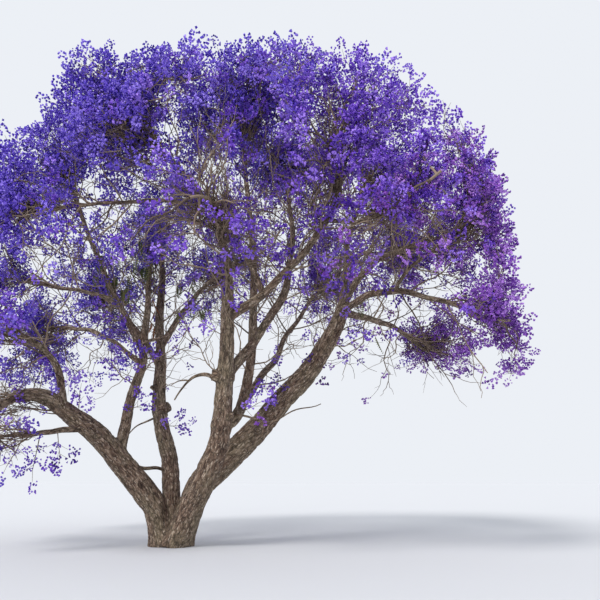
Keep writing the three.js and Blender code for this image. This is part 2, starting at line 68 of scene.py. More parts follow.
# Each limb leaves its parent at a share of the parent's length. It reaches out towards its
# heading, in degrees from +X, and climbs. Its middle is moved up by arch, to the left of the
# heading by sway and along it by push. The foot and tip are radii.
Limb = namedtuple("Limb", "parent share heading reach climb arch sway push foot tip")
LIMBS = {
    "left_leader": Limb("trunk", 0.3, -164, 3.7, 2.9, 2.4, -0.35, 0.85, 0.3, 0.09),
    "left_low_bough": Limb("left_leader", 0.42, -126, 2, -0.3, -0.05, -0.1, 0.1, 0.075, 0.032),
    "left_front_bough": Limb("left_leader", 0.58, -105, 2.15, 1.45, 0.5, 0.65, -0.15, 0.095, 0.036),
    "rear_left_leader": Limb("left_leader", 0.26, 88, 1.95, 5.35, -0.05, -0.25, 0.05, 0.14, 0.055),
    "left_bough": Limb("rear_left_leader", 0.51, -164, 2.2, 4.75, -0.15, -0.05, 0.15, 0.084, 0.036),
    "left_arm": Limb("left_bough", 0.29, -158, 2.2, 0.3, 0.05, 0, 0.1, 0.056, 0.03),
    "left_back_bough": Limb("rear_left_leader", 0.45, 155, 3.2, 1.25, 0.7, 0, 0, 0.07, 0.034),
    "centre_leader": Limb("trunk", 0.6, 113, 3.25, 8.1, -1.45, 0.2, -0.45, 0.235, 0.05),
    "back_left_bough": Limb("centre_leader", 0.55, 138, 3.4, 2.65, 0.6, 0, 0, 0.095, 0.038),
    "back_bough": Limb("centre_leader", 0.62, 65, 2.95, 2.95, 0.6, 0, 0, 0.09, 0.038),
    "right_leader": Limb("trunk", 0.9, -3, 3.95, 4.75, 0.75, 0, 1.65, 0.33, 0.13),
    "right_bough": Limb("right_leader", 0.95, 20, 2.35, 2.05, 0.5, 0.2, -0.6, 0.092, 0.045),
    "right_fork": Limb("right_leader", 0.95, 60, 1.3, 3.3, 0.5, 0.15, -0.05, 0.082, 0.038),
    "right_back_arm": Limb("right_fork", 0.35, 58, 3.3, 1.25, 0.4, 0, 0, 0.046, 0.03),
    "right_front_bough": Limb("right_leader", 0.95, -40, 3.4, -0.65, 0.9, -0.35, -0.1, 0.09, 0.04),
    "right_front_arm": Limb("right_front_bough", 0.51, -6, 1.6, 1.45, -0.45, -0.3, -0.95, 0.045, 0.03),
    "right_low_bough": Limb("right_leader", 0.93, 49, 4, -0.25, 0.6, 0.2, -0.3, 0.098, 0.038),
    "upright_leader": Limb("trunk", 0.65, -54, 2.35, 4.7, -2.1, 0.5, 0.3, 0.31, 0.13),
    "upright_bough": Limb("upright_leader", 0.95, -91, 2.05, 1.55, 0.2, 0.2, -0.05, 0.092, 0.042),
    "front_right_bough": Limb("upright_leader", 0.95, -34, 2.8, 2.5, 0.1, 0.8, 0.85, 0.095, 0.042),
    "front_right_arm": Limb("front_right_bough", 0.7, -43, 1.85, -0.15, -0.45, -0.15, 0.15, 0.042, 0.03),
    "front_left_bough": Limb("front_right_bough", 0.18, -159, 2.9, 3.15, 0.6, 0.15, -0.4, 0.062, 0.036),
    "front_left_arm": Limb("front_left_bough", 0.5, -169, 3.7, -0.55, 0.3, 0, 0, 0.04, 0.03),
    "crown_bough": Limb("upright_leader", 0.64, 29, 0.4, 6.55, -2.95, 0, 1.05, 0.146, 0.045),
    "rear_right_bough": Limb("upright_leader", 0.79, 69, 3.5, 6.2, -0.75, -1.15, 0.45, 0.12, 0.042),
    "back_right_bough": Limb("crown_bough", 0.24, 67, 5.4, 4.5, -0.45, 0.1, -0.4, 0.09, 0.036),
}
FORKED = ("right_leader", "upright_leader")  # these end where their boughs go on
FUSED = ("left_leader", "rear_left_leader", "centre_leader", "right_leader", "upright_leader",
         "crown_bough", "rear_right_bough")  # these flow into the trunk and each other
TRUNK_TOP = (0.05, 0.0, 1.0)  # the end of the trunk's middle line, on which the leaders start
LIMB = Values(taper=0.8, collar=0.22, collar_length=0.26, wander=0.011, wander_up=0.7, waves=7, waves_up=9,
              kink=0.45, kinks=19)

# The trunk is four columns grown together, one under each leader. A column stands on the ground
# at x, y and joins its leader at a share of the leader's length. It has a radius at the ground,
# a waist halfway up, and `bend` is how far below the joint it starts to lean.
Column = namedtuple("Column", "x y radius waist joins bend")
COLUMNS = {
    "left_leader": Column(-0.2, -0.02, 0.29, 0.26, 0.1, 0.3),
    "centre_leader": Column(-0.03, -0.02, 0.27, 0.22, 0.12, 0.3),
    "right_leader": Column(0.2, 0.04, 0.3, 0.31, 0.1, 0.22),
    "upright_leader": Column(0.1, -0.17, 0.28, 0.28, 0.3, 0.35),
}
# Dead wood: a stub grows on a limb at a share of its length and points along x, y, z. A stick
# runs freely through its start, middle and end.
Stub = namedtuple("Stub", "limb share x y z foot tip")
STUBS = [
    Stub("centre_leader", 0.41, 0.22, -0.14, 0.08, 0.16, 0.13),
    Stub("centre_leader", 0.47, -0.2, -0.12, 0.1, 0.09, 0.05),
    Stub("upright_leader", 0.79, -0.28, -0.06, 0.02, 0.17, 0.12),
    Stub("upright_leader", 0.66, 0.26, -0.22, 0.1, 0.11, 0.06),
    Stub("right_leader", 0.3, 0.06, -0.36, -0.02, 0.12, 0.07),
    Stub("left_leader", 0.34, -0.05, -0.3, 0.12, 0.12, 0.06),
    Stub("rear_left_leader", 0.3, 0.22, -0.1, 0.06, 0.08, 0.05),
]
Stick = namedtuple("Stick", "start middle end foot tip")
STICKS = [
    Stick((-1.02, -0.2, 1.8), (-0.62, 0.1, 1.82), (-0.2, 0.42, 1.66), 0.05, 0.035),
    Stick((1.08, -1.54, 3.66), (0.7, -1.68, 3.92), (0.26, -1.5, 3.18), 0.05, 0.014),
    Stick((1.5, -1.12, 2.9), (2.5, -1.5, 2.66), (3.4, -1.5, 3.1), 0.026, 0.009),
    Stick((0.56, -1.6, 3.58), (0.4, -1.6, 3.64), (0.18, -1.5, 3.5), 0.02, 0.008),
    Stick((-1.05, 0.75, 4.88), (-0.3, 0.9, 5.2), (0.3, 1.05, 6.1), 0.045, 0.014),
    Stick((-0.4, 0.98, 3.1), (-1.1, 0.9, 3.0), (-1.35, 0.7, 2.5), 0.03, 0.012),
]
# Sprouts with blossom, straight from the older wood, along x, y, z from a share of a limb.
Sprout = namedtuple("Sprout", "limb share x y z")
SPROUTS = [
    Sprout("rear_left_leader", 0.5, -0.25, -0.35, -0.1), Sprout("rear_left_leader", 0.43, 0.2, -0.35, 0.15),
    Sprout("rear_left_leader", 0.38, -0.3, -0.3, 0.1), Sprout("rear_left_leader", 0.24, 0.3, -0.3, 0.0),
    Sprout("left_leader", 0.48, 0.1, -0.3, 0.45), Sprout("left_leader", 0.62, 0.1, -0.2, 0.5),
    Sprout("left_leader", 0.75, 0.2, -0.3, 0.45), Sprout("left_bough", 0.12, -0.35, -0.3, 0.0),
    Sprout("left_arm", 0.4, 0.0, -0.2, -0.4), Sprout("left_bough", 0.3, 0.3, -0.3, -0.2),
    Sprout("centre_leader", 0.37, 0.42, -0.3, -0.05), Sprout("upright_leader", 0.9, -0.45, -0.2, 0.25),
    Sprout("crown_bough", 0.2, 0.35, -0.35, 0.1), Sprout("back_right_bough", 0.14, 0.3, -0.3, -0.1),
    Sprout("left_low_bough", 0.35, 0.15, -0.2, -0.45), Sprout("left_low_bough", 0.55, 0.0, -0.2, -0.6),
    Sprout("left_low_bough", 0.75, -0.2, -0.1, -0.5),
]
SPROUT = Values(sprigs=6, foot=0.012, tip=0.006, sides=4, length=1.3, bend=0.5, dip=0.06, number=5000)
FLARE = Values(share=0.1, height=0.12)  # by which a column widens at the ground
BLEND = 0.45  # size of the fillets between limbs, as a share of the thinner one's radius

# The crown is a dome with a squarish plan, whose rim hangs lower at the sides.
CROWN = Values(top=11.55, middle=1.8, left=5.4, right=8.1, front=4.9, back=5.6, rim_left=2.0, rim_right=3.6,
               rim_front=5.3, rim_back=6.3, plan_power=2.6, dome_left=2.55, dome_right=2.9, rings=200,
               dip_width=0.7, most_sunk=0.62)
BALL = Values(fewest=3, radius=0.9)  # for a tip that lies deep in the crown
# Places far from every tip at which the crown is close all the same. Each has a ball of ends of
# its own for the orders of twigs.
FILLS = [(-0.45, -0.3, 10.2), (-1.35, -2.6, 9.85), (-1.3, -2.9, 7.9), (2.3, -3.4, 5.8),
         (3.6, -3.6, 6.0)]
FILL = Values(radius=0.9, counts=(1, 6, 52))
STEM = Values(share=0.55, least=0.8, limb_pull=0.24, onward=0.5, foot=1.05, tip=0.026, sides=8)
SPACE_MARGIN = 0.01  # clear of the plane halfway between two masses
POINTS = Values(length=60, limb=41, stem=11, sprout=7, stub=9, stick=19)  # on a line
NEAR_TIP = (0.98, 0.99, 1.0)  # shares of a limb that give the direction of its tip

# The orders of twigs on a mass's stem. Each has a count on the whole crown's surface and one on
# a ball, and ends in layers that lie a share `depth` further in. The ends draw in by `dip` between
# two masses, and all lie `inset` short of the surface. A twig likes to be `ideal` long and to
# leave at `lean` degrees, and runs `onward` with the older wood for a share of its length.
Order = namedtuple("Order", "count ball layers depth dip ideal lean onward inset foot tip sides steps")
TWIG = Order(106, 4, 1, 0, 0.22, 0, 0, 0, 0.5, 0.026, 0.012, 5, 8)
BRANCH = Order(360, 8, 4, 0.13, 0.1, 1.5, 45, 0.55, 0.5, 0.018, 0.008, 4, 8)
SHOOT = Order(2000, 16, 6, 0.11, 0.04, 0.8, 50, 0.5, 0.46, 0.011, 0.005, 3, 6)
ORDERS = (TWIG, BRANCH, SHOOT)
WAVE = Values(share=0.055, turns=1.3, lift=0.6)  # by which a twig swings aside, and up and down
ASKEW = Values(wave=0.2, fan=0.15, skin=0.1)  # leans UP over, so that an upright twig has a side too
LONGEST = 2.6  # times the ideal length, past which a twig isn't grown
CHOICE = Values(lean=60, bend=0.55)  # degrees of wrong lean as bad as an ideal length; where it bends
# The first order forks from the stem between two shares of it, arched and swung aside.
FORK = Values(first=0.12, spread=0.84, sway=0.24, arch=0.1)
# Shares of the older wood past which finer twigs leave it, and from how many places on a limb.
ROOTS = Values(limb=0.4, limb_places=14, stem=0.2, twig=0.15, branch=0.2, outer_twig=0.5)

# A fan of finer twigs leaves older wood all round by the golden angle, past the share `first` of
# its length. Side branches leave a limb so, side shoots a side branch, and sprigs any shoot.
Fan = namedtuple("Fan", "first lean least most rise foot tip sides steps")
SIDE = Fan(0.3, 62, 0.9, 2.6, 0.3, 0.02, 0.009, 4, 8)
SIDE_SHOOT = Fan(0.2, 58, 0.35, 1.2, 0.3, 0.011, 0.005, 3, 5)
SPRIG = Fan(0.3, 62, 0.14, 0.34, 0.25, 0.0055, 0.0035, 3, 1)
OUTWARD = Values(straighter=0.75, shorter=0.3)  # by which a fan's outermost twigs differ
SIDES_APART = 0.2  # metres of limb for each side branch
# Few side branches grow below `low`, and all above `high`. `bare` is the share of a side shoot's
# sprigs that it has at the ground.
SIDE_SHARE = Values(low=3.2, high=6.0, least=0.1, bare=0.3)
SIDE_SHOOTS = 7  # on a side branch
SIDE_SPRIGS = 4  # at most on a side shoot
SHELL = 0.94  # share of the way to the crown's surface that side branches may reach
SPRIGS = (7, 6, 5, 4, 3, 2)  # on a shoot of each layer, the outermost first
END_SPRIGS = 4  # at the end of a twig or branch

# The share of sprigs that flower. It is `full` above a level and falls to `least` over `fall`
# below it. The level sinks towards the crown's left and right ends. Near the crown's top, past
# the height `roof`, `more` flower. They come in clumps by a slow noise, set by the seed: `swing` is
# how strong it is, and `fray` how far single sprigs stray from it.
BLOOM = Values(full=0.69, least=0.32, level=9.7, fall=2.4, sink_left=6.3, sink_right=6.2, roof=9.6,
               more=0.1, clumps=1.97, swing=0.9, fray=0.1, seed=(44.7, 18.8, 7.9))

# One panicle: bell flowers with square rims on a loose cone. Its greatest length is in metres,
# and `spread`, `bell` and `rim` are shares of it. One flower in `paler` is a shade paler, partly
# the flowers' own variety and partly a painted highlight.
PANICLE = Values(flowers=18, petals=4, kinds=6, length=0.32, least=0.65, spread=0.38, bell=0.185, rim=0.092,
                 rise=0.35, paler=4)

# Where a flower sits and how it is turned. The flowers start between two heights, closer in
# towards the panicle's narrow end, and are more upright there than at its foot.
FLOWER = Values(lowest=0.05, up=0.85, crowding=0.9, narrowing=0.65, inward=0.7, upright=0.9, nod=0.45,
                stray=0.5, least=0.8, more=0.4)

# Old leaves that still hang in a few places, on the sprigs within `reach` of x, y, z. Dry ones are
# orange-brown. A leaf's length, blades and their width are in metres, the rest is in shares.
Spray = namedtuple("Spray", "x y z reach dry")
LEAF_SPRAYS = [Spray(-1.45, 0.6, 7.0, 0.75, False), Spray(0.0, 2.2, 6.4, 0.8, False),
               Spray(-2.3, 0.4, 6.7, 0.6, False), Spray(-0.95, 1.5, 5.8, 0.55, True),
               Spray(4.6, -0.4, 5.4, 0.6, False), Spray(5.9, 1.8, 5.3, 0.6, False)]
LEAF = Values(pairs=9, length=0.55, least=0.6, blade=0.15, width=0.04, bare=0.2, bend=0.25, droop=0.02,
              lift=0.06, stalk=0.006, narrowest=0.15, widening=0.8, sag=0.8, most=40)

# What is dealt out by chance, each with a number of its own.
DRAWS = dict(sway=0, warmth=6, spray_light=7, roll=8, length=9, flower_turn=10, turn=11, phase=12, span=13,
             light=14, sprigs=15, fray=16, kept=17, flower_reach=20, brown=21, flower_tilt=30,
             leaf_length=31, leaf_roll=32, leaf_shade=33, flower_size=40)
STIR = Values(row=12.9898, draw=78.233, wave=43758.5453)  # large and uneven enough to look random
FINER = 10  # a finer twig's number is its older one's times this, and its turn on it


def chance(row, what, kind=0):
    """Numbers from 0 to 1 that are the same each time for the same row, draw and kind."""
    wave = np.sin(np.asarray(row) * STIR.row + (DRAWS[what] + kind) * STIR.draw) * STIR.wave
    return wave - np.floor(wave)


def evenly(count):
    """Shares from 0 to 1, evenly apart."""
    return np.linspace(0, 1, count)


def between(low, high, share):
    """The value at a share of the way from low to high."""
    return low + (high - low) * share


def unit(vectors):
    return vectors / np.maximum(np.linalg.norm(vectors, axis=-1, keepdims=True), 1e-9)


def quadratic(start, middle, end, shares):
    """Points of quadratic curves: (..., 3) ends give (..., len(shares), 3) points."""
    s = shares[:, None]
    start, middle, end = (np.asarray(p)[..., None, :] for p in (start, middle, end))
    return (1 - s) ** 2 * start + 2 * s * (1 - s) * middle + s ** 2 * end


def along(points):
    """The direction of travel at each point of polylines of shape (..., n, 3)."""
    return unit(np.gradient(points, axis=-2))


# Limbs

class LimbCurve:
    """A quadratic curve that strays a little to each side, as grown wood does."""

    def __init__(self, size, start, order):
        heading = math.radians(size.heading)
        out = np.array([math.cos(heading), math.sin(heading), 0.0])
        self.side = np.array([-out[1], out[0], 0.0])
        self.start = start
        self.end = start + out * size.reach + UP * size.climb
        self.middle = (start + self.end) / 2 + UP * size.arch + self.side * size.sway + out * size.push
        self.stray = LIMB.wander * np.linalg.norm(self.end - start)
        self.phase = order * GOLDEN_ANGLE
        self.size = size
        self.length = np.linalg.norm(np.diff(self.points(evenly(POINTS.length)), axis=0), axis=1).sum()

    def points(self, shares):
        shares = np.atleast_1d(shares)
        room = 4 * shares * (1 - shares) * self.stray
        line = quadratic(self.start, self.middle, self.end, shares)
        aside = np.sin(LIMB.waves * shares + self.phase)
        aside = aside + LIMB.kink * np.sin(LIMB.kinks * shares + 3 * self.phase)
        line = line + self.side * (room * aside)[:, None]
        rise = LIMB.wander_up * np.sin(LIMB.waves_up * shares + 2 * self.phase)
        rise = rise + LIMB.kink * np.sin((LIMB.kinks + 2) * shares + self.phase)
        return line + UP * (room * rise)[:, None]

    def radii(self, shares):
        foot, tip = self.size.foot, self.size.tip
        collar = foot * LIMB.collar * np.exp(-shares * self.length / LIMB.collar_length)
        return tip + (foot - tip) * (1 - shares) ** LIMB.taper + collar

    def binormal(self):
        """A direction square to the plane in which the limb bends."""
        across = np.cross(self.middle - self.start, self.end - self.start)
        return unit(across) if np.linalg.norm(across) > 0.05 else self.side


def plan_limbs():
    trunk_top = np.array(TRUNK_TOP)
    curves = {}
    for order, (name, size) in enumerate(LIMBS.items()):
        if size.parent == "trunk":
            start = trunk_top * size.share
        else:
            start = curves[size.parent].points(size.share)[0]
        curves[name] = LimbCurve(size, start, order)
    return curves


CURVES = plan_limbs()
LEAFY = [name for name in LIMBS if name not in FORKED]
TIPS = np.array([CURVES[name].end for name in LEAFY])
NUMBERS = {name: 1000 * order for order, name in enumerate(LIMBS)}  # the first of its own twigs


# Crown

def even_sinks(count):
    """Shares of the way down the crown for points that cover it evenly, from its top to its rim."""
    power = (CROWN.dome_left + CROWN.dome_right) / 2
    radius = (CROWN.left + CROWN.right + CROWN.front + CROWN.back) / 4
    rim = (CROWN.rim_left + CROWN.rim_right + CROWN.rim_front + CROWN.rim_back) / 4
    level = np.linspace(1, 0, CROWN.rings + 1)
    spread = radius * np.sqrt(1 - level ** 2) ** (2 / power)
    height = (CROWN.top - rim) * level ** (2 / power)
    slant = np.hypot(np.diff(spread), np.diff(height))
    areas = np.concatenate([[0], np.cumsum(slant * (spread[1:] + spread[:-1]) / 2)])
    wanted = areas[-1] * (np.arange(count) + 0.5) / count
    return np.interp(wanted, areas, 1 - level)


def plan_reach(across, deep):
    """How far out in the crown's plan a place lies, where 1 is its edge."""
    half_x = np.where(across < 0, CROWN.left + CROWN.middle, CROWN.right - CROWN.middle)
    half_y = np.where(deep < 0, CROWN.front, CROWN.back)
    plan = np.abs(across / half_x) ** CROWN.plan_power + np.abs(deep / half_y) ** CROWN.plan_power
    return plan ** (1 / CROWN.plan_power)


def rim_and_power(cos, sin):
    """The height of the crown's rim and the power of its dome in a direction."""
    rim = cos ** 2 * np.where(cos < 0, CROWN.rim_left, CROWN.rim_right)
    rim = rim + sin ** 2 * np.where(sin < 0, CROWN.rim_front, CROWN.rim_back)
    return rim, between(CROWN.dome_left, CROWN.dome_right, (cos + 1) / 2)


def crown_points(angle, sink):
    """Points of the crown's surface, round it by angle and down it by sink from 0 to 1."""
    across, deep = np.cos(angle), np.sin(angle)
    rim, power = rim_and_power(across, deep)
    level = 1 - sink
    spread = np.sqrt(1 - level ** 2) ** (2 / power) / plan_reach(across, deep)
    height = rim + (CROWN.top - rim) * level ** (2 / power)
    return np.stack([CROWN.middle + across * spread, deep * spread, height], -1)


def in_crown(points):
    """Whether points lie within the share SHELL of the way out to the crown's surface."""
    across, deep = points[..., 0] - CROWN.middle, points[..., 1]
    far = np.maximum(np.hypot(across, deep), 1e-6)
    rim, power = rim_and_power(across / far, deep / far)
    height = np.clip((points[..., 2] - rim) / (CROWN.top - rim) / SHELL, 0, 2)
    return (plan_reach(across, deep) / SHELL) ** power + height ** power < 1


def share_out(order):
    """The ends of one order of twigs, by mass. Each goes to the limb with the nearest tip."""
    number = np.arange(order.count)
    ends = crown_points(number * GOLDEN_ANGLE, even_sinks(order.count))
    distance = np.linalg.norm(ends[:, None] - TIPS[None], axis=2)
    nearest = np.sort(distance, axis=1)
    own = np.argmin(distance, axis=1)
    dip = order.dip * np.exp((nearest[:, 0] - nearest[:, 1]) / CROWN.dip_width)
    sunk = np.minimum(CROWN.most_sunk, dip + order.depth * (number % order.layers))
    ends = ends + (TIPS[own] - ends) * sunk[:, None]
    count = FILL.counts[ORDERS.index(order)]
    fills = np.concatenate([np.array(place) + sphere(count) * FILL.radius for place in FILLS])
    ends, number = np.concatenate([ends, fills]), np.arange(order.count + len(fills))
    own = np.concatenate([own, np.argmin(np.linalg.norm(fills[:, None] - TIPS[None], axis=2), axis=1)])
    return {name: (ends[own == i], number[own == i]) for i, name in enumerate(LEAFY)}


def sphere(count):
    """Directions spread evenly all round."""
    i = np.arange(count)
    height = 1 - 2 * (i + 0.5) / count
    ring = np.sqrt(1 - height ** 2)
    return np.stack([ring * np.cos(i * GOLDEN_ANGLE), ring * np.sin(i * GOLDEN_ANGLE), height], -1)


def ball_ends(name, count):
    """Ends on a ball round the tip of a limb that lies deep in the crown."""
    return CURVES[name].end + sphere(count) * BALL.radius, NUMBERS[name] + np.arange(count)


def in_space(points, name):
    """Whether points lie on the limb's own side of the plane halfway to every other limb's tip."""
    own = LEAFY.index(name)
    others = np.delete(TIPS, own, axis=0)
    apart = np.linalg.norm(others - TIPS[own], axis=1)
    beyond = ((points[..., None, :] - others) ** 2).sum(-1)
    beyond = beyond - ((points - TIPS[own]) ** 2).sum(-1)[..., None]
    return (beyond / (2 * apart) > SPACE_MARGIN).all(-1)


# Twigs

Twigs = namedtuple("Twigs", "lines numbers")


def some(twigs, chosen):
    """The chosen ones of a set of twigs."""
    return Twigs(twigs.lines[chosen], twigs.numbers[chosen])


def both(*grown):
    """Several sets of twigs, or of their ends, as one."""
    return Twigs(*(np.concatenate(kind) for kind in zip(*grown)))


def sized(twigs, size):
    """What twig_skin takes for a set of twigs of an order or a fan."""
    return twigs.lines, size.foot, size.tip, size.sides


def stem_line(name, twig_ends):
    """The stem runs on from its limb's tip and bends towards the middle of its twigs' ends."""
    curve = CURVES[name]
    tangent = along(curve.points(NEAR_TIP))[-1]
    outward = twig_ends.mean(0) - curve.end + tangent * STEM.limb_pull
    length = max(STEM.least, STEM.share * np.linalg.norm(outward))
    end = curve.end + unit(outward) * length
    bend = curve.end + tangent * STEM.onward * length
    return quadratic(curve.end, bend, end, evenly(POINTS.stem))


def waved(lines, numbers):
    """Lines that swing a little from side to side, but start and end where they did."""
    span = lines[:, -1] - lines[:, 0]
    side = unit(np.cross(span, UP + ASKEW.wave))
    shares = evenly(lines.shape[1])
    phase = FULL_TURN * chance(numbers, "phase")[:, None]
    swing = np.sin(FULL_TURN * WAVE.turns * shares + phase) * 4 * shares * (1 - shares)
    size = WAVE.share * np.linalg.norm(span, axis=1)[:, None] * swing
    lift = WAVE.lift * np.roll(size, 2, axis=0)
    return lines + side[:, None] * size[..., None] + UP * lift[..., None]


def main_twigs(stem, ends, numbers, name):
    """The first order of twigs forks from the stem in turn, the shortest first."""
    rank = np.argsort(np.argsort(np.linalg.norm(ends - CURVES[name].end, axis=1)))
    place = (FORK.first + FORK.spread * (rank + 0.5) / len(ends)) * (len(stem) - 1)
    below = np.minimum(place.astype(int), len(stem) - 2)
    starts = between(stem[below], stem[below + 1], (place - below)[:, None])
    length = np.linalg.norm(ends - starts, axis=1, keepdims=True)
    side = unit(np.cross(UP, ends - starts))
    sway = FORK.sway * length * (chance(numbers, "sway") - 0.5)[:, None]
    middle = (starts + ends) / 2 + UP * length * FORK.arch + side * sway
    lines = waved(quadratic(starts, middle, ends, evenly(TWIG.steps + 1)), numbers)
    return some(Twigs(lines, numbers), in_space(lines, name).all(1))


def roots_on(lines, first):
    """Places on polylines, past the share `first`, from which finer twigs may leave."""
    keep = np.arange(lines.shape[1]) >= first * (lines.shape[1] - 1)
    return lines[:, keep].reshape(-1, 3), along(lines)[:, keep].reshape(-1, 3)


def finer_twigs(ends, numbers, roots, order, name):
    """Twigs towards each end from the root that suits it best, leaving along the older wood."""
    places, directions = (np.concatenate(kind) for kind in zip(*roots))
    toward = ends[:, None] - places[None]
    distance = np.linalg.norm(toward, axis=2)
    cosine = (toward * directions[None]).sum(2) / np.maximum(distance, 1e-6)
    lean = np.degrees(np.arccos(np.clip(cosine, -1, 1)))
    cost = np.abs(distance - order.ideal) / order.ideal + np.abs(lean - order.lean) / CHOICE.lean
    best = np.argmin(cost, axis=1)
    start, onward = places[best], directions[best]
    length = np.linalg.norm(ends - start, axis=1, keepdims=True)
    leaving = onward * order.onward + unit(ends - start) * (1 - order.onward)
    middle = start + leaving * length * CHOICE.bend
    lines = waved(quadratic(start, middle, ends, evenly(order.steps + 1)), numbers)
    kept = in_space(lines, name).all(1) & (length[:, 0] < LONGEST * order.ideal)
    return some(Twigs(lines, numbers), kept)


def grow_mass(name, shared):
    """One mass's stem, twigs, branches and shoots."""
    curve = CURVES[name]
    wanted = [shared[order][name] for order in ORDERS]
    if len(wanted[0][0]) < BALL.fewest:
        balls = [ball_ends(name, order.ball) for order in ORDERS]
        wanted = [both(*pair) for pair in zip(wanted, balls)]
    inset = [ends + unit(curve.end - ends) * order.inset for (ends, _), order in zip(wanted, ORDERS)]
    numbers = [own_numbers for _, own_numbers in wanted]
    stem = stem_line(name, inset[0])
    limb = curve.points(np.linspace(ROOTS.limb, 1, ROOTS.limb_places))[None]
    twigs = main_twigs(stem, inset[0], numbers[0], name)
    roots = [roots_on(twigs.lines, ROOTS.twig), roots_on(stem[None], ROOTS.stem), roots_on(limb, 0)]
    branches = finer_twigs(inset[1], numbers[1], roots, BRANCH, name)
    roots = [roots_on(branches.lines, ROOTS.branch), roots_on(twigs.lines, ROOTS.outer_twig)]
    shoots = finer_twigs(inset[2], numbers[2], roots, SHOOT, name)
    sprigs = [fan_out(shoots, np.array(SPRIGS)[shoots.numbers % SHOOT.layers], SPRIG)]
    for older in (twigs, branches):
        outer = Twigs(older.lines[:, -3:], older.numbers * SHOOT.layers)
        sprigs.append(fan_out(outer, np.full(len(outer.lines), END_SPRIGS), SPRIG))
    tubes = [(stem[None], LIMBS[name].tip * STEM.foot, STEM.tip, STEM.sides)]
    tubes += [sized(grown, order) for grown, order in zip((twigs, branches, shoots), ORDERS)]
    return tubes, both(*sprigs)


def grow_sides(name):
    """The side branches of one limb, their shoots and the sprigs on these."""
    curve = CURVES[name]
    count = int(curve.length * (1 - SIDE.first) / SIDES_APART)
    limb = curve.points(evenly(POINTS.limb))
    branches = fan_out(Twigs(limb[None], np.array([NUMBERS[name]])), np.array([count]), SIDE)
    height = (branches.lines[:, 0, 2] - SIDE_SHARE.low) / (SIDE_SHARE.high - SIDE_SHARE.low)
    share = between(SIDE_SHARE.least, 1, np.clip(height, 0, 1))
    kept = in_crown(branches.lines).all(1) & (chance(branches.numbers, "kept") < share)
    branches = some(branches, kept)
    shoots = fan_out(branches, np.full(len(branches.lines), SIDE_SHOOTS), SIDE_SHOOT)
    shoots = some(shoots, in_crown(shoots.lines).all(1))
    share = np.clip(SIDE_SHARE.bare + shoots.lines[:, -1, 2] / CROWN.top, 0, 1)
    wanted = (SIDE_SPRIGS + 1) * chance(shoots.numbers, "sprigs") * share
    sprigs = fan_out(shoots, wanted.astype(int), SPRIG)
    return [sized(branches, SIDE), sized(shoots, SIDE_SHOOT)], sprigs


def grow_sprouts():
    """The sprouts' own twigs and the sprigs on them."""
    starts = np.array([CURVES[sprout.limb].points(sprout.share)[0] for sprout in SPROUTS])
    spans = np.array([[sprout.x, sprout.y, sprout.z] for sprout in SPROUTS])
    middles = starts + spans * SPROUT.bend - UP * SPROUT.dip
    ends = starts + spans * SPROUT.length
    lines = quadratic(starts, middles, ends, evenly(POINTS.sprout))
    sprouts = Twigs(lines, SPROUT.number + np.arange(len(SPROUTS)))
    sprigs = fan_out(sprouts, np.full(len(SPROUTS), SPROUT.sprigs), SPRIG)
    return (lines, SPROUT.foot, SPROUT.tip, SPROUT.sides), sprigs


def fan_out(older, counts, fan):
    """Finer twigs round the outer part of each older one, turned by the golden angle."""
    row = np.repeat(np.arange(len(counts)), counts)
    turn = np.arange(len(row)) - np.repeat(np.cumsum(counts) - counts, counts)
    outer = (turn + 1) / counts[row]
    place = (fan.first + (1 - fan.first) * outer) * (older.lines.shape[1] - 1)
    below = np.minimum(place.astype(int), older.lines.shape[1] - 2)
    lines = older.lines[row]
    pick = np.arange(len(row))
    start = between(lines[pick, below], lines[pick, below + 1], (place - below)[:, None])
    direction = along(older.lines)[row, below]
    side = unit(np.cross(direction, UP + ASKEW.fan))
    numbers = older.numbers[row] * FINER + turn
    angle = (turn * GOLDEN_ANGLE + FULL_TURN * chance(older.numbers[row], "turn"))[:, None]
    out = side * np.cos(angle) + np.cross(direction, side) * np.sin(angle)
    lean = (np.radians(fan.lean) * (1 - OUTWARD.straighter * outer ** 3))[:, None]
    heading = unit(direction * np.cos(lean) + out * np.sin(lean))
    rising = unit(heading + UP * fan.rise)
    more = (fan.most - fan.least) * chance(numbers, "span") * (1 - OUTWARD.shorter * outer)
    length = (fan.least + more)[:, None]
    end = start + (heading + rising) * length / 2
    lines = quadratic(start, start + heading * length / 2, end, evenly(fan.steps + 1))
    if fan.steps > 2:
        lines = waved(lines, numbers)
    return Twigs(lines, numbers)


# Meshes

def set_corners(mesh, corners):
    mesh.vertices.foreach_set("co", np.asarray(corners, np.float32).ravel())


def values_of(items, name, size, kind=np.float32):
    """One row of `size` values for each item."""
    values = np.empty(size * len(items), kind)
    items.foreach_get(name, values)
    return values.reshape(-1, size)


def linked(name, data):
    """A new object in the scene."""
    made = bpy.data.objects.new(name, data)
    bpy.context.scene.collection.objects.link(made)
    return made


def mesh_object(name, corners, triangles, materials, numbers=None, smooth=True):
    """A new object of triangles. `numbers` gives each triangle's material."""
    mesh = bpy.data.meshes.new(name)
    mesh.vertices.add(len(corners))
    set_corners(mesh, corners)
    mesh.loops.add(3 * len(triangles))
    mesh.loops.foreach_set("vertex_index", np.asarray(triangles, np.int32).ravel())
    mesh.polygons.add(len(triangles))
    mesh.polygons.foreach_set("loop_start", np.arange(0, 3 * len(triangles), 3, dtype=np.int32))
    if numbers is not None:
        mesh.polygons.foreach_set("material_index", np.asarray(numbers, np.int32))
    mesh.polygons.foreach_set("use_smooth", np.full(len(triangles), smooth))
    mesh.update(calc_edges=True)
    for material in materials:
        mesh.materials.append(material)
    return linked(name, mesh)


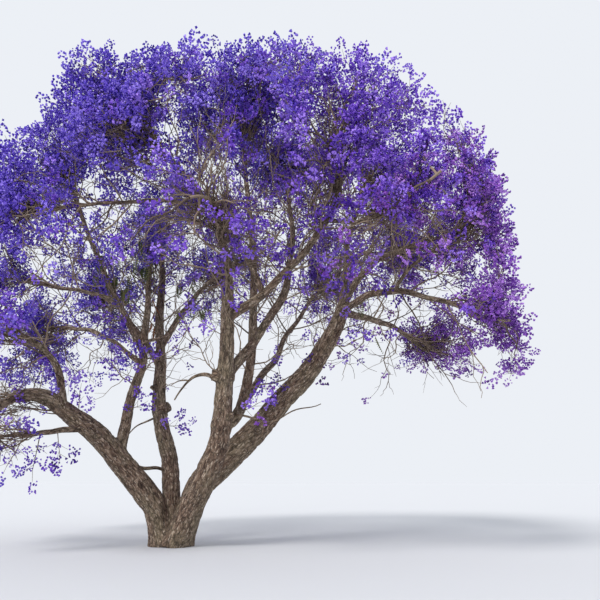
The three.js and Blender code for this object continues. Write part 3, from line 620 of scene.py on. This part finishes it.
def rings_round(lines, radii, sides, binormal):
    """Rings of corners round polylines (m, n, 3) with radii (m, n)."""
    tangent = along(lines)
    normal = unit(np.cross(binormal, tangent))
    other = np.cross(tangent, normal)
    turn = np.linspace(0, FULL_TURN, sides, endpoint=False)
    circle = normal[..., None, :] * np.cos(turn)[:, None] + other[..., None, :] * np.sin(turn)[:, None]
    return lines[..., None, :] + circle * radii[..., None, None]


def skin(rings):
    """Corners and triangles of the tubes through rings of shape (m, n, sides, 3)."""
    m, n, sides, _ = rings.shape
    tube, ring, side = np.meshgrid(np.arange(m), np.arange(n - 1), np.arange(sides), indexing="ij")
    here = (tube * n + ring) * sides
    a, b = here + side, here + (side + 1) % sides
    c, d = a + sides, b + sides
    triangles = np.stack([np.stack([a, b, d], -1), np.stack([a, d, c], -1)], -2)
    return rings.reshape(-1, 3), triangles.reshape(-1, 3)


def closed(rings):
    """One tube's skin with both ends closed."""
    corners, triangles = skin(rings)
    sides = rings.shape[2]
    last = len(corners) - sides
    i = np.arange(sides)
    foot = np.stack([np.full(sides, len(corners)), (i + 1) % sides, i], -1)
    head = np.stack([np.full(sides, len(corners) + 1), last + i, last + (i + 1) % sides], -1)
    ends = np.stack([rings[0, 0].mean(0), rings[0, -1].mean(0)])
    return np.concatenate([corners, ends]), np.concatenate([triangles, foot, head])


def twig_skin(lines, foot, tip, sides):
    """Corners and triangles of a set of twigs that taper from foot to tip."""
    if not len(lines):
        return np.zeros((0, 3)), np.zeros((0, 3), int)
    radii = np.broadcast_to(np.linspace(foot, tip, lines.shape[1]), lines.shape[:2])
    span = lines[:, -1] - lines[:, 0]
    return skin(rings_round(lines, radii, sides, unit(np.cross(span, UP + ASKEW.skin))[:, None]))


def joined(parts):
    """Many (corners, triangles) as one."""
    corners, triangles, first = [], [], 0
    for part_corners, part_triangles in parts:
        corners.append(part_corners)
        triangles.append(part_triangles + first)
        first += len(part_corners)
    return np.concatenate(corners), np.concatenate(triangles)


# Wood

Line = namedtuple("Line", "points radii binormal")


def limb_line(curve, step, first=0.0):
    shares = np.linspace(first, 1, max(8, int(curve.length * (1 - first) / step)) + 1)
    return Line(curve.points(shares), curve.radii(shares), curve.binormal())


def leader_line(name, step):
    """A leader together with its column of the trunk, from the ground to its tip."""
    curve, column = CURVES[name], COLUMNS[name]
    upper = limb_line(curve, step, column.joins)
    foot, joint = np.array([column.x, column.y, 0.0]), upper.points[0]
    length = np.linalg.norm(joint - foot)
    bend = joint - along(upper.points)[0] * column.bend * length
    s = evenly(int(length / step) + 1)[:-1]
    lower = quadratic(foot, bend, joint, s)
    radii = (1 - s) * (1 - 2 * s) * column.radius + 4 * s * (1 - s) * column.waist
    radii = radii + s * (2 * s - 1) * upper.radii[0]
    radii = radii * (1 + FLARE.share * np.exp(-lower[:, 2] / FLARE.height))
    binormal = unit(np.cross(joint - foot, curve.end - joint))
    return Line(np.concatenate([lower, upper.points]), np.concatenate([radii, upper.radii]), binormal)


def wood_line(name, step):
    return leader_line(name, step) if name in COLUMNS else limb_line(CURVES[name], step)


def tapered(points, wood):
    """A line whose radius changes evenly from the dead wood's foot to its tip."""
    radii = np.linspace(wood.foot, wood.tip, len(points))
    return Line(points, radii, unit(np.cross(points[-1] - points[0], UP)))


def stub_line(stub):
    span = np.array([stub.x, stub.y, stub.z])
    start = CURVES[stub.limb].points(stub.share)
    return tapered(start + span * evenly(POINTS.stub)[:, None], stub)


def stick_line(stick):
    smooth = quadratic(stick.start, stick.middle, stick.end, evenly(POINTS.stick))
    return tapered(waved(smooth[None], np.array([len(STICKS)]))[0], stick)


def line_body(line, sides):
    return closed(rings_round(line.points[None], line.radii[None], sides, line.binormal))


class Wood:
    """Measures how far points are from a set of limbs, and where on them they lie."""

    STRETCH = 0.34  # the bark's pattern is this much longer along the wood than across it
    APART = 7  # between the limbs' places in the bark's own space
    LEEWAY = 0.04  # by which a place may lie past its nearest sample

    def __init__(self, lines):
        self.lines = lines
        self.tangents = [along(line.points) for line in lines]
        steps = [np.linalg.norm(np.diff(line.points, axis=0), axis=1) for line in lines]
        self.travels = [np.concatenate([[0], np.cumsum(step)]) for step in steps]

    def measure(self, corners, number):
        """Distance to one limb's surface, the direction out of it, and the nearest sample."""
        line = self.lines[number]
        square = (line.points ** 2).sum(1)[None] - 2 * corners @ line.points.T
        nearest = np.argmin(square, axis=1)
        tangent = self.tangents[number][nearest]
        away = corners - line.points[nearest]
        onward = np.clip((away * tangent).sum(1), -self.LEEWAY, self.LEEWAY)[:, None]
        away = away - tangent * onward
        reach = np.linalg.norm(away, axis=1)
        return reach - line.radii[nearest], away / np.maximum(reach, 1e-6)[:, None], nearest

    def blended(self, corners):
        """Distance to the limbs grown together, with fillets, and the direction out of them."""
        measured = [self.measure(corners, number) for number in range(len(self.lines))]
        distance = np.stack([m[0] for m in measured], 1)
        order = np.argsort(distance, axis=1)[:, :2]
        row = np.arange(len(corners))
        first, second = (distance[row, order[:, k]] for k in (0, 1))
        outward = np.stack([m[1] for m in measured], 1)
        radius = np.stack([self.lines[i].radii[m[2]] for i, m in enumerate(measured)], 1)
        size = BLEND * np.minimum(radius[row, order[:, 0]], radius[row, order[:, 1]])
        near = np.clip(1 - (second - first) / size, 0, 1)
        share = near[:, None] / 2
        direction = outward[row, order[:, 0]] * (1 - share) + outward[row, order[:, 1]] * share
        return first - near ** 2 * size / 4, unit(direction)

    def grain(self, corners):
        """Places in the bark's own space, along and across the wood, and the wood's radius."""
        measured = [self.measure(corners, number) for number in range(len(self.lines))]
        own = np.argmin(np.stack([m[0] for m in measured], 1), axis=1)
        places, radii = np.empty((len(corners), 3)), np.empty(len(corners))
        for number, line in enumerate(self.lines):
            chosen = own == number
            nearest = measured[number][2][chosen]
            tangent = self.tangents[number][nearest]
            normal = unit(np.cross(line.binormal, tangent))
            away = corners[chosen] - line.points[nearest]
            travel = self.travels[number][nearest] + (away * tangent).sum(1) + self.APART * number
            places[chosen] = np.stack([(away * normal).sum(1), (away * np.cross(tangent, normal)).sum(1),
                                       travel * self.STRETCH], -1)
            radii[chosen] = line.radii[nearest]
        return places, radii


# Plates with cracks between them stand out by `depth`, and slow and fine lumps by `lumps`. The
# relief is at its full height on wood of the full radius.
BARK = Values(plates=8.5, crack=0.22, depth=0.02, rest=0.7, lumps=0.03, slow=2.2, fine=11, fine_share=0.45,
              full_radius=0.24)


def bark_height(grain, radius):
    """How far the bark stands out."""
    heights = np.empty(len(grain))
    for i, place in enumerate(grain):
        point = Vector(place)
        near = noise.voronoi(point * BARK.plates)[0]
        plate = min(1.0, (near[1] - near[0]) / BARK.crack)
        lump = noise.noise(point * BARK.slow) + BARK.fine_share * noise.noise(point * BARK.fine)
        heights[i] = BARK.depth * (plate - BARK.rest) + BARK.lumps * lump
    return heights * np.minimum(1, radius / BARK.full_radius)


# The fused limbs are tubes at first, are remeshed, and are then drawn onto their blended surface
# and relaxed in a few rounds. Below `ground` nothing is drawn. The thin ones stay tubes.
MESHING = Values(step=0.06, rough_step=0.12, rough_sides=16, voxel=0.035, rounds=3, ground=0.02,
                 thin_step=0.07, thin_sides=12)
RELAX = (0.6, -0.4)


def remeshed(corners, triangles, voxel):
    """The outer surface of overlapping bodies as one even mesh."""
    body = mesh_object("body", corners, triangles, [])
    change = body.modifiers.new("remesh", "REMESH")
    change.mode, change.voxel_size = "VOXEL", voxel
    mesh = bpy.data.meshes.new_from_object(body.evaluated_get(bpy.context.evaluated_depsgraph_get()))
    bpy.data.objects.remove(body)
    return mesh


def relaxed(mesh, corners):
    """Moves each corner towards the middle of its neighbours, and then part of the way back."""
    edges = values_of(mesh.edges, "vertices", 2, np.int32)
    a, b = edges.T
    size = len(corners)
    count = np.bincount(edges.ravel(), minlength=size)[:, None]
    for share in RELAX:
        total = np.stack([np.bincount(a, corners[b, k], size) + np.bincount(b, corners[a, k], size)
                          for k in range(3)], -1)
        corners = corners + (total / count - corners) * share
    return corners


def make_bark(mesh, corners, wood):
    """Raises the bark's relief on a mesh and notes its grain for the material."""
    set_corners(mesh, corners)
    mesh.update()
    grain, radius = wood.grain(corners)
    corners = corners + values_of(mesh.vertices, "normal", 3) * bark_height(grain, radius)[:, None]
    corners[:, 2] = np.maximum(corners[:, 2], 0)
    set_corners(mesh, corners)
    attribute = mesh.attributes.new("grain", "FLOAT_VECTOR", "POINT")
    attribute.data.foreach_set("vector", grain.astype(np.float32).ravel())
    mesh.polygons.foreach_set("use_smooth", np.ones(len(mesh.polygons), bool))
    mesh.update()


def make_trunk_and_leaders(material):
    stubs = [stub_line(stub) for stub in STUBS]
    wood = Wood([wood_line(name, MESHING.step) for name in FUSED] + stubs)
    rough = [wood_line(name, MESHING.rough_step) for name in FUSED] + stubs
    bodies = [line_body(line, MESHING.rough_sides) for line in rough]
    mesh = remeshed(*joined(bodies), MESHING.voxel)
    corners = values_of(mesh.vertices, "co", 3).astype(float)
    for _ in range(MESHING.rounds):
        distance, outward = wood.blended(corners)
        standing = corners[:, 2] > MESHING.ground
        corners = corners - outward * (distance * standing)[:, None]
        corners = relaxed(mesh, corners)
    make_bark(mesh, corners, wood)
    mesh.materials.append(material)
    mesh.name = "trunk_and_leaders"
    piece = linked("trunk_and_leaders", mesh)
    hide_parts("trunk", *FUSED)
    return piece


def make_boughs(material):
    thin = [name for name in LIMBS if name not in FUSED]
    lines = [wood_line(name, MESHING.thin_step) for name in thin]
    lines += [stick_line(stick) for stick in STICKS]
    corners, triangles = joined([line_body(line, MESHING.thin_sides) for line in lines])
    piece = mesh_object("boughs", corners, triangles, [material])
    make_bark(piece.data, corners, Wood(lines))
    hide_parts(*thin)
    return piece


def make_twigs(tubes, materials):
    """All twigs in joined pieces, with the browns dealt out twig by twig."""
    runs, browns, count = [[]], [[]], 0
    for lines, foot, tip, sides in tubes:
        part, twigs = twig_skin(lines, foot, tip, sides), len(lines)
        if count + len(part[1]) > MOST_TRIANGLES:
            runs.append([])
            browns.append([])
            count = 0
        dealt = np.floor(chance(np.arange(twigs), "brown") * len(materials)).astype(int)
        runs[-1].append(part)
        browns[-1].append(np.repeat(dealt, len(part[1]) // max(1, twigs)))
        count += len(part[1])
    pieces = [mesh_object(f"twigs_{i + 1}", *joined(run), materials, np.concatenate(browns[i]))
              for i, run in enumerate(runs)]
    for piece in pieces:
        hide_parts(*(name + "_blossom" for name in LEAFY))
    return pieces


# Blossom

def panicle(kind):
    """One panicle of a length of 1 along +Z: bell flowers on a loose cone."""
    petals = PANICLE.petals
    i = np.arange(PANICLE.flowers)
    height = FLOWER.lowest + FLOWER.up * ((i + 0.5) / len(i)) ** FLOWER.crowding
    turn = i * GOLDEN_ANGLE + FULL_TURN * chance(i, "flower_turn", kind)
    out = np.stack([np.cos(turn), np.sin(turn), np.zeros(len(i))], -1)
    inward = FLOWER.inward * (1 - chance(i, "flower_reach", kind))
    reach = PANICLE.spread * (1 - FLOWER.narrowing * height) * (1 - inward)
    root = out * reach[:, None] + UP * height[:, None]
    nod = FLOWER.nod - FLOWER.stray * (chance(i, "flower_tilt", kind) - 0.5)
    tilt = FLOWER.upright * height - nod
    axis = unit(out + UP * tilt[:, None])
    side = unit(np.cross(axis, UP))
    size = FLOWER.least + FLOWER.more * chance(i, "flower_size", kind)
    round_rim = np.linspace(0, FULL_TURN, petals, endpoint=False)[None, :, None]
    rim = side[:, None] * np.cos(round_rim) + np.cross(axis, side)[:, None] * np.sin(round_rim)
    mouth = root + axis * (PANICLE.bell * size)[:, None]
    rim = mouth[:, None] + rim * (PANICLE.rim * size)[:, None, None]
    corners = np.concatenate([root[:, None], rim], 1)
    first = i[:, None] * (petals + 1)
    step = np.arange(petals)
    triangles = np.stack([first + 0 * step, first + 1 + step, first + 1 + (step + 1) % petals], -1)
    return corners.reshape(-1, 3), triangles.reshape(-1, 3)


def turned(direction, roll):
    """Rotation matrices that take +Z to each direction."""
    side = unit(np.cross(direction, ASIDE))
    other = np.cross(direction, side)
    cos, sin = np.cos(roll)[:, None], np.sin(roll)[:, None]
    return np.stack([side * cos + other * sin, other * cos - side * sin, direction], -1)


def set_out(shape, turn, length, feet):
    """Copies of one shape, each turned, sized and moved to its foot."""
    corners, triangles = shape
    placed = np.einsum("mij,nj->mni", turn * length[:, None, None], corners) + feet[:, None]
    first = np.arange(len(feet))[:, None, None] * len(corners)
    return placed.reshape(-1, 3), (triangles[None] + first).reshape(-1, 3)


def blooming(sprigs):
    """The sprigs that flower, in clumps, thickest in the crown's upper and outer parts."""
    ends = sprigs.lines[:, -1]
    across = ends[:, 0] - CROWN.middle
    left = np.clip(-across / (CROWN.left + CROWN.middle), 0, 1)
    right = np.clip(across / (CROWN.right - CROWN.middle), 0, 1)
    level = BLOOM.level - BLOOM.sink_left * left ** 2 - BLOOM.sink_right * right ** 2
    below = np.clip((level - ends[:, 2]) / BLOOM.fall, 0, 1)
    share = between(BLOOM.full, BLOOM.least, below)
    share = share + BLOOM.more * np.clip(ends[:, 2] - BLOOM.roof, 0, 1)
    places = ends * BLOOM.clumps + np.array(BLOOM.seed)
    clump = np.array([noise.noise(Vector(place)) for place in places])
    clump = 0.5 + BLOOM.swing * clump + BLOOM.fray * (chance(sprigs.numbers, "fray") - 0.5)
    return some(sprigs, clump < share)


# A panicle's family of colours is `middle` at x and z, more by `right` for each metre further
# right and by `down` for each one lower. Its shade is partly painted light: paler on outer shoots,
# and darker as painted shade on those deeper in the crown. Both stray by chance.
TINT = Values(middle=1.3, x=2.5, right=0.165, z=7.5, down=0.135, stray=0.75)
LIGHT = Values(inner=1.25, outer=1.5, spray=2.25, own=2.0)


def blossom_colours(places, numbers):
    """Which colour each panicle takes: bluer to the upper left, pinker to the lower right."""
    shoot = numbers // FINER
    warm = TINT.right * (places[:, 0] - TINT.x) + TINT.down * (TINT.z - places[:, 2])
    warm = TINT.middle + warm + TINT.stray * (chance(numbers, "warmth") - 0.5)
    family = np.clip(np.floor(warm).astype(int), 0, len(BLOSSOM_COLOURS) - 1)
    # Painted light: outer shoots take paler shades, and shoots deeper in the crown take darker ones as
    # painted shade.
    outer = 1 - (shoot % SHOOT.layers) / (SHOOT.layers - 1)
    light = LIGHT.inner + LIGHT.outer * outer + LIGHT.spray * (chance(shoot, "spray_light") - 0.5)
    light = light + LIGHT.own * (chance(numbers, "light") - 0.5)
    shade = np.clip(np.floor(light).astype(int), 0, SHADES - 1)
    return family * SHADES + shade


def make_blossom(sprigs, materials):
    """All panicles in joined pieces, each for a run of limbs."""
    kinds = [panicle(kind) for kind in range(PANICLE.kinds)]
    most = MOST_TRIANGLES // (PANICLE.flowers * PANICLE.petals)
    pieces = []
    for first in range(0, len(sprigs.lines), most):
        run = some(sprigs, slice(first, first + most))
        pieces.append(make_panicles(f"blossom_{len(pieces) + 1}", run, kinds, materials))
    return pieces


def dealt_shades(colours, triangles):
    """A panicle's colour for each of its triangles, but the next paler one, partly a painted highlight, for
    every few flowers.
    """
    flower = np.arange(triangles) // PANICLE.petals
    # Every few flowers take the next paler shade: partly the flowers' own variety, partly a painted
    # highlight.
    paler = (flower % PANICLE.paler == 0)[None] & (colours % SHADES < SHADES - 1)[:, None]
    return (colours[:, None] + paler).ravel()


def make_panicles(name, sprigs, kinds, materials):
    lines, rows = sprigs
    span = lines[:, -1] - lines[:, -2]
    direction = unit(span + PANICLE.rise * UP * np.linalg.norm(span, axis=1, keepdims=True))
    length = PANICLE.length * between(PANICLE.least, 1, chance(rows, "length"))
    turn = turned(direction, FULL_TURN * chance(rows, "roll"))
    colour = blossom_colours(lines[:, -1], rows)
    parts, numbers = [], []
    for kind, shape in enumerate(kinds):
        chosen = rows % len(kinds) == kind
        parts.append(set_out(shape, turn[chosen], length[chosen], lines[chosen, -1]))
        numbers.append(dealt_shades(colour[chosen], len(shape[1])))
    piece = mesh_object(name, *joined(parts), materials, np.concatenate(numbers), smooth=False)
    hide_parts(*(name + "_blossom" for name in LEAFY))
    return piece


# Leaves

def leaf():
    """One leaf of a length of 1 along +Z: narrow blades in pairs on a stalk that bends back."""
    blade, width = LEAF.blade / LEAF.length, LEAF.width / LEAF.length
    height = np.linspace(LEAF.bare, 1, LEAF.pairs)
    back = LEAF.bend * height ** 2
    spread = blade * np.sin(math.pi * (LEAF.narrowest + LEAF.widening * height))
    corners, triangles = [], []
    for side in (-1, 1):
        for up, bend, reach in zip(height, back, spread):
            first = len(corners)
            corners += [(0, bend, up), (side * reach / 2, bend - width / 2, up + width),
                        (side * reach, bend + LEAF.droop, up + LEAF.lift),
                        (side * reach / 2, bend + width / 2, up - width / 2)]
            triangles += [(first, first + 1, first + 2), (first, first + 2, first + 3)]
    first = len(corners)
    corners += [(-LEAF.stalk, 0, 0), (LEAF.stalk, 0, 0), (0, back[-1] / 4, 0.5), (0, back[-1], 1)]
    triangles += [(first, first + 1, first + 2), (first, first + 2, first + 3)]
    return np.array(corners, float), np.array(triangles)


def make_leaves(sprigs, green, dry):
    """The hanging leaves, their shades dealt out sprig by sprig."""
    shape = leaf()
    parts, numbers = [], []
    for spray in LEAF_SPRAYS:
        away = sprigs.lines[:, -1] - np.array([spray.x, spray.y, spray.z])
        near = np.flatnonzero(np.linalg.norm(away, axis=1) < spray.reach)[:LEAF.most]
        rows, foot = sprigs.numbers[near], sprigs.lines[near, -1]
        out = unit(foot - sprigs.lines[near, 0])
        length = LEAF.length * between(LEAF.least, 1, chance(rows, "leaf_length"))
        direction = unit(out * (1 - LEAF.sag) - UP * LEAF.sag)
        turn = turned(direction, FULL_TURN * chance(rows, "leaf_roll"))
        parts.append(set_out(shape, turn, length, foot))
        shade = np.floor(chance(rows, "leaf_shade") * len(green)).astype(int)
        if spray.dry:
            shade[:] = len(green)
        numbers.append(np.repeat(shade, len(shape[1])))
    piece = mesh_object("leaves", *joined(parts), green + [dry], np.concatenate(numbers), smooth=False)
    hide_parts(*(name + "_blossom" for name in LEAFY))
    return piece


# Materials

def linear(*levels):
    """Levels from 0 to 255 as a linear colour."""
    shares = [level / 255 for level in levels]
    return tuple(s / 12.92 if s <= 0.04045 else ((s + 0.055) / 1.055) ** 2.4 for s in shares) + (1.0,)


def node(tree, kind, **values):
    """A new shader node with its inputs or settings given by name."""
    made = tree.nodes.new("ShaderNode" + kind)
    for name, value in values.items():
        if name in made.inputs:
            made.inputs[name].default_value = value
        else:
            setattr(made, name, value)
    return made


def new_material(name):
    material = bpy.data.materials.new(name)
    material.use_nodes = True
    return material, material.node_tree, material.node_tree.nodes["Principled BSDF"]


def ramp(tree, source, stops):
    """A colour ramp fed by an output."""
    made = node(tree, "ValToRGB")
    while len(made.color_ramp.elements) < len(stops):
        made.color_ramp.elements.new(0.5)
    for element, (place, colour) in zip(made.color_ramp.elements, stops):
        element.position, element.color = place, colour
    tree.links.new(source, made.inputs["Fac"])
    return made.outputs["Color"]


def mixed(tree, kind, share, below, above):
    """Two colours mixed by a share, each an output or a plain colour."""
    made = node(tree, "Mix", data_type="RGBA", blend_type=kind)
    for socket, value in ((made.inputs["Factor"], share), (made.inputs[6], below), (made.inputs[7], above)):
        if isinstance(value, bpy.types.NodeSocket):
            tree.links.new(value, socket)
        else:
            socket.default_value = value
    return made.outputs[2]


def grey(level):
    return (level, level, level, 1.0)


def bark_material():
    """Grey-brown bark in long plates, with cracks darkened partly by painted shade, pale flecks that are
    partly painted highlights, and slow changes of tone.
    """
    material, tree, surface = new_material("bark")
    link = tree.links.new
    grain = node(tree, "Attribute", attribute_name="grain").outputs["Vector"]

    def pattern(kind, output, **values):
        made = node(tree, kind, **values)
        link(grain, made.inputs["Vector"])
        return made.outputs[output]

    slow = pattern("TexNoise", "Fac", Scale=2.3, Detail=4.0, Roughness=0.6)
    mottle = pattern("TexNoise", "Fac", Scale=15.0, Detail=9.0, Roughness=0.78)
    fleck = pattern("TexNoise", "Fac", Scale=27.0, Detail=4.0, Roughness=0.7)
    crack = pattern("TexVoronoi", "Distance", feature="DISTANCE_TO_EDGE", Scale=BARK.plates * 1.7)
    brown = ramp(tree, mottle, [(0.36, linear(48, 33, 26)), (0.46, linear(96, 75, 62)),
                                (0.54, linear(130, 107, 90)), (0.66, linear(176, 154, 134))])
    grey_green = ramp(tree, mottle, [(0.36, linear(58, 47, 37)), (0.46, linear(112, 98, 79)),
                                     (0.55, linear(144, 128, 106)), (0.67, linear(182, 166, 146))])
    tone = ramp(tree, slow, [(0.42, grey(0)), (0.6, grey(1))])
    colour = mixed(tree, "MIX", tone, brown, grey_green)
    # Pale flecks: partly the bark's own pale spots, partly painted highlights.
    flecks = ramp(tree, fleck, [(0.56, grey(0)), (0.63, grey(0.8))])
    colour = mixed(tree, "MIX", flecks, colour, linear(208, 190, 170))
    # The cracks are darker partly in the bark's own colour and partly by painted shade in the fissures.
    dark = ramp(tree, crack, [(0.0, grey(0.25)), (0.09, grey(1))])
    colour = mixed(tree, "MULTIPLY", 0.8, colour, dark)
    link(colour, surface.inputs["Base Color"])
    height = node(tree, "Math", operation="MULTIPLY_ADD")
    link(mottle, height.inputs[0])
    height.inputs[1].default_value = 1.6
    link(dark, height.inputs[2])
    bump = node(tree, "Bump", Strength=0.9, Distance=0.02)
    link(height.outputs["Value"], bump.inputs["Height"])
    link(bump.outputs["Normal"], surface.inputs["Normal"])
    surface.inputs["Roughness"].default_value = ROUGHNESS.bark
    return material


def plain_material(name, colour, roughness, sheen=0.0):
    material, _, surface = new_material(name)
    surface.inputs["Base Color"].default_value = colour
    surface.inputs["Roughness"].default_value = roughness
    surface.inputs["Sheen Weight"].default_value = sheen
    return material


# Each family's shades are partly the flowers' own variety and partly painted light: the darker ones painted
# shade, the paler ones lit blossom.
SHADES = 4  # in each family, dark to pale
BLOSSOM_COLOURS = {
    "blue": [(62, 34, 146), (84, 50, 184), (106, 74, 206), (146, 120, 230)],
    "violet": [(74, 32, 146), (98, 48, 184), (122, 72, 206), (158, 120, 230)],
    "purple": [(88, 36, 134), (114, 52, 168), (142, 78, 194), (176, 124, 218)],
}
LEAF_COLOURS = [(72, 84, 44), (96, 106, 58), (118, 120, 70)]
DRY_LEAF = (150, 92, 44)
TWIG_COLOURS = [(98, 82, 70), (124, 106, 90), (144, 126, 108)]
ROUGHNESS = Values(bark=0.93, twig=0.9, leaf=0.6, dry_leaf=0.7, petal=0.6, floor=0.9)
PETAL_SHEEN = 0.15


def shades_of(name, colours, roughness, sheen=0.0):
    """A plain material for each of a list of colours."""
    return [plain_material(f"{name}_{shade}", linear(*levels), roughness, sheen)
            for shade, levels in enumerate(colours)]


def leaf_materials():
    dry = plain_material("leaf_dry", linear(*DRY_LEAF), ROUGHNESS.dry_leaf)
    return shades_of("leaf", LEAF_COLOURS, ROUGHNESS.leaf), dry


def blossom_materials():
    return [material for family, colours in BLOSSOM_COLOURS.items()
            for material in shades_of("blossom_" + family, colours, ROUGHNESS.petal, PETAL_SHEEN)]


# Stage, light and camera

FLOOR = Values(half_side=120, colour=(203, 205, 209))


def make_floor():
    size = FLOOR.half_side
    corners = [(-size, -size, 0), (size, -size, 0), (size, size, 0), (-size, size, 0)]
    floor = mesh_object("floor", np.array(corners, float), np.array([[0, 1, 2], [0, 2, 3]]),
                        [plain_material("floor", linear(*FLOOR.colour), ROUGHNESS.floor)],
                        smooth=False)


# Soft light from all round, and a wide, warmer one from above and in front. Angles in degrees.
LIGHTING = Values(sky=(0.84, 0.87, 0.92, 1), sky_strength=1.0, key=(1.0, 0.97, 0.93), key_energy=2.4,
                  key_width=20, key_turn=(40, -20, -15))


def make_lights():
    world = bpy.data.worlds.new("studio")
    world.use_nodes = True
    background = world.node_tree.nodes["Background"]
    background.inputs["Color"].default_value = LIGHTING.sky
    background.inputs["Strength"].default_value = LIGHTING.sky_strength
    bpy.context.scene.world = world
    sun = bpy.data.lights.new("key", "SUN")
    sun.energy, sun.color = LIGHTING.key_energy, LIGHTING.key
    sun.angle = math.radians(LIGHTING.key_width)
    linked("key", sun).rotation_euler = [math.radians(angle) for angle in LIGHTING.key_turn]
    bpy.context.scene.view_settings.view_transform = "Standard"


CAMERA = Values(place=(2.95, -14.7, 1.6), pitch=10, lens=37.2, shift_y=0.1095, far=500)


def make_camera():
    camera = linked("camera", bpy.data.cameras.new("camera"))
    camera.location = CAMERA.place
    camera.rotation_euler = (math.radians(90 + CAMERA.pitch), 0, 0)
    camera.data.lens, camera.data.shift_y = CAMERA.lens, CAMERA.shift_y
    camera.data.clip_end = CAMERA.far
    bpy.context.scene.camera = camera


def main():
    make_camera()
    make_floor()
    make_lights()
    bark = bark_material()
    shared = {order: share_out(order) for order in ORDERS}
    grown = [grow_mass(name, shared) for name in LEAFY] + [grow_sides(name) for name in LIMBS]
    tubes = [part for own, _ in grown for part in own]
    sprigs = both(*(own for _, own in grown))
    sprouts, sprout_sprigs = grow_sprouts()
    tubes += [sprouts, sized(sprigs, SPRIG), sized(sprout_sprigs, SPRIG)]
    wood = [make_trunk_and_leaders(bark), make_boughs(bark)]
    wood += make_twigs(tubes, shades_of("twig", TWIG_COLOURS, ROUGHNESS.twig))
    blossom = make_blossom(both(blooming(sprigs), sprout_sprigs), blossom_materials())
    blossom.append(make_leaves(sprigs, *leaf_materials()))
    for slot, pieces in (("bark", wood), ("blossom", blossom)):
        for piece in pieces:
            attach(piece, "root")


main()
